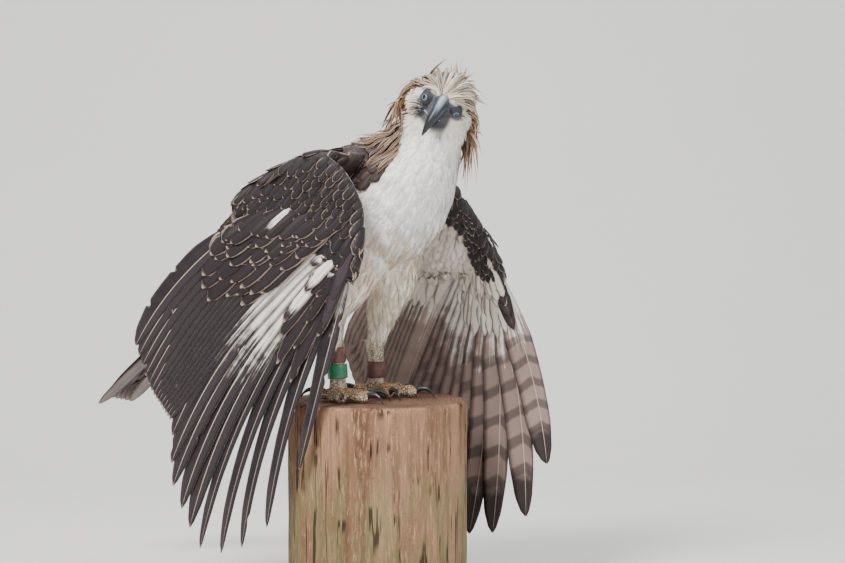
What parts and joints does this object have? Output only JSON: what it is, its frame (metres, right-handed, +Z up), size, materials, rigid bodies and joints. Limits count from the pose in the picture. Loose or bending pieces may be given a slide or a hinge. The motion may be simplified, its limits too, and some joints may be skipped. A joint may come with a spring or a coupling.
{
  "type": "philippine eagle",
  "caption": "Life-size still model of a Philippine eagle standing on a cut wooden post, wings half spread and hanging, head turned.",
  "frame": {"origin": "centre of the base's underside, under the post's axis", "axes": "+Z up out of the base, +X to the right of the bird's viewer, +Y away from the viewer"},
  "size_m": [0.7427, 0.4589, 0.8487],
  "materials": {
    "torso": "white and cream feathers",
    "neck": "white and cream feathers",
    "head": "cream and rufous crest feathers",
    "bill_upper": "blue-grey horn",
    "bill_lower": "blue-grey horn",
    "eye_right": "wet pale blue-grey iris",
    "eye_left": "wet pale blue-grey iris",
    "wing_right": "dark brown feathers",
    "wing_left": "dark brown feathers, white and barred below",
    "tail": "brown feathers",
    "thigh_right": "cream feathers",
    "thigh_left": "cream feathers",
    "tarsus_right": "pale scales",
    "tarsus_left": "pale scales",
    "foot_right": "pale scales",
    "foot_left": "pale scales",
    "claws": "black horn",
    "cuffs": "brown leather",
    "leg_band": "green, with a plain number",
    "perch_post": "weathered",
    "stand_base": "matte dark"
  },
  "bodies": {
    "root": {"torso": "torso", "neck": "neck", "head": "head", "bill_upper": "bill_upper", "bill_lower": "bill_lower", "eye_right": "eye_right", "eye_left": "eye_left", "wing_right": "wing_right", "wing_left": "wing_left", "tail": "tail", "thigh_right": "thigh_right", "thigh_left": "thigh_left", "tarsus_right": "tarsus_right", "tarsus_left": "tarsus_left", "foot_right": "foot_right", "foot_left": "foot_left", "claw_right_middle": "claws", "claw_right_inner": "claws", "claw_right_outer": "claws", "claw_right_hind": "claws", "claw_left_middle": "claws", "claw_left_inner": "claws", "claw_left_outer": "claws", "claw_left_hind": "claws", "anklet_right": "cuffs", "anklet_left": "cuffs", "leg_band": "leg_band", "perch_post": "perch_post", "stand_base": "stand_base"}
  },
  "joints": []
}
